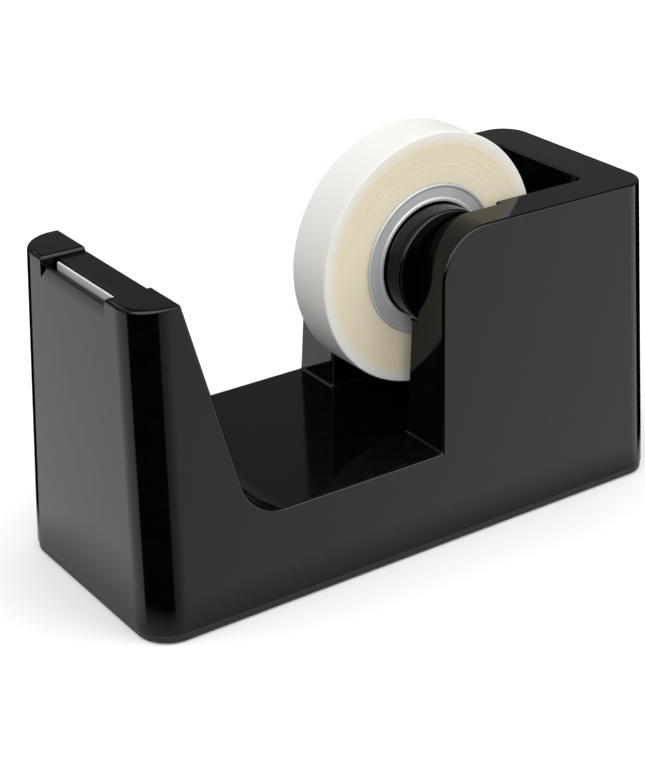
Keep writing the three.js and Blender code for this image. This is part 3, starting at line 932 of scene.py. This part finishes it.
def studio_world():
    """Matt surfaces are lit softly from all round. Gloss shows light cards with dark between.

    Heights are sines of the angle above the horizon.
    """
    world = bpy.data.worlds.new("studio")
    bpy.context.scene.world = world
    world.use_nodes = True
    tree = world.node_tree
    direction = add(tree, "ShaderNodeTexCoord").outputs["Generated"]
    split = add(tree, "ShaderNodeSeparateXYZ", {0: direction})
    azimuth = maths(tree, "ARCTAN2", split.outputs["Y"], split.outputs["X"])
    height = split.outputs["Z"]

    left_card = card(tree, azimuth, 140, 29, 4, 1.52)
    left_card = maths(tree, "MULTIPLY", left_card, remap(tree, height, -0.05, 0.2, 1, 0))
    right_card = maths(tree, "ADD", 0.7, card(tree, azimuth, 335, 15, 50, 1.5))
    right_edges = card(tree, azimuth, 304, 40, 3, 1)
    right_low = remap(tree, height, 0.05, 0.3, 1, 0)
    right_card = maths(tree, "MULTIPLY", right_card, right_edges, right_low)
    haze = remap(tree, height, 0, 0.25, 0, 0.22)
    front_card = card(tree, azimuth, 250, 62, 12, 5)
    front_card = maths(tree, "MULTIPLY", front_card, remap(tree, height, 0.1, 0.35, 0, 1))
    strip_low = remap(tree, height, 0.48, 0.53, 0, 1)
    strip_high = remap(tree, height, 0.7, 0.8, 1, 0)
    strip = maths(tree, "MULTIPLY", card(tree, azimuth, 140, 45, 10, 1.2), strip_low, strip_high)
    seen = maths(tree, "ADD", left_card, right_card, haze, front_card, strip)

    over_wall = card(tree, azimuth, 318, 22, 20, 1.6)
    over_wall = maths(tree, "MULTIPLY", over_wall, remap(tree, height, 0.25, 0.35, 0, 1))
    lit = maths(tree, "ADD", 0.95, card(tree, azimuth, 190, 40, 50, 1.15), over_wall)
    above_floor = remap(tree, height, 0, 0.5, 0.15, 1.2)
    overhead = remap(tree, height, 0.6, 1, 1, 0.38)
    lit = maths(tree, "MULTIPLY", lit, above_floor, overhead)

    glossy = add(tree, "ShaderNodeLightPath").outputs["Is Glossy Ray"]
    strength = add(tree, "ShaderNodeMix", {"Factor": glossy, 2: lit, 3: seen}).outputs[0]
    tree.links.new(strength, tree.nodes["Background"].inputs["Strength"])
    tree.nodes["Background"].inputs["Color"].default_value = (1, 1, 1, 1)


FLOOR_MARGIN = 17  # how far out the floor shows in reflections
FLOOR_FADE_START = 5
FLOOR_HALF = 6  # in metres


def floor_material(name, fades):
    """Pale matt paper. If it fades, it ends softly a short way out from the dispenser."""
    material, tree, shader, place = new_material(name)
    cloud = noise(tree, place, 3, 2)
    colour = mixed(tree, cloud, (0.92, 0.92, 0.92), (0.93, 0.93, 0.93))
    connect(tree, shader, base_color=colour, roughness=0.9, specular_ior_level=0.0)
    if fades:
        corner = FRONT_CORNER
        inside = ((SHELL_HIGH.x - corner) * MM, (SHELL_HIGH.y - corner) * MM, 0)
        past = vector_maths(tree, "SUBTRACT", vector_maths(tree, "ABSOLUTE", place), inside)
        past = vector_maths(tree, "MAXIMUM", past, (0, 0, 0))
        reach = vector_maths(tree, "LENGTH", past, output="Value")
        start, end = (corner + FLOOR_FADE_START) * MM, (corner + FLOOR_MARGIN) * MM
        connect(tree, shader, alpha=remap(tree, reach, start, end, 1, 0))
    return material


def floor():
    """Pale floor. Gloss shows only a part near the dispenser, which nothing else can see."""
    corners = [(-1, -1), (1, -1), (1, 1), (-1, 1)]
    square = [(FLOOR_HALF * x, FLOOR_HALF * y, 0) for x, y in corners]
    wide = mesh_object("floor", square, [(0, 1, 2, 3)])
    wide.visible_glossy = False
    wide.visible_diffuse = False
    margin = FLOOR_MARGIN
    outline = rounded_rectangle(
        SHELL_LOW.x - margin, SHELL_HIGH.x + margin, SHELL_HIGH.y + margin,
        FRONT_CORNER + margin, BACK_CORNER + margin,
    )
    above_wide = 2e-5
    vertices = [(x * MM, y * MM, above_wide) for x, y in outline]
    near = mesh_object("floor_near", vertices, [tuple(range(len(vertices)))])
    near.visible_camera = False
    near.visible_diffuse = False
    near.visible_shadow = False
    for made, fades in ((wide, False), (near, True)):
        made.data.materials.append(floor_material(f"{made.name}_paper", fades))


def camera():
    data = bpy.data.cameras.new("camera")
    data.lens = 87.97
    data.sensor_width = 36
    data.shift_x = -0.0267
    data.shift_y = 0.012
    data.clip_start = 0.01
    made = bpy.data.objects.new("camera", data)
    made.location = Vector((-228.3, -315.5, 216.5)) * MM
    azimuth, elevation = math.radians(-35.65), math.radians(25.87)
    back = Vector((
        math.sin(azimuth) * math.cos(elevation),
        -math.cos(azimuth) * math.cos(elevation),
        math.sin(elevation),
    ))
    made.rotation_euler = back.to_track_quat("Z", "Y").to_euler()
    bpy.context.scene.collection.objects.link(made)
    bpy.context.scene.camera = made


# ---------- scene ----------

housing()
cutter_bar()
cutter_blade()
base_plate()
for pad_node in PADS:
    anti_slip_pad(pad_node)
spindle()
loose_disc()
drum()
tape_core()
tape_roll()

for name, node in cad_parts.items():
    if "screw" in name:
        finish = SCREW_STEEL
    elif name.startswith("ballast"):
        finish = IRON
    elif name.startswith("brake"):
        finish = FELT
    else:
        continue
    node.data.materials.clear()
    node.data.materials.append(finish)

camera()
studio_world()
floor()
bpy.context.scene.view_settings.view_transform = "Standard"
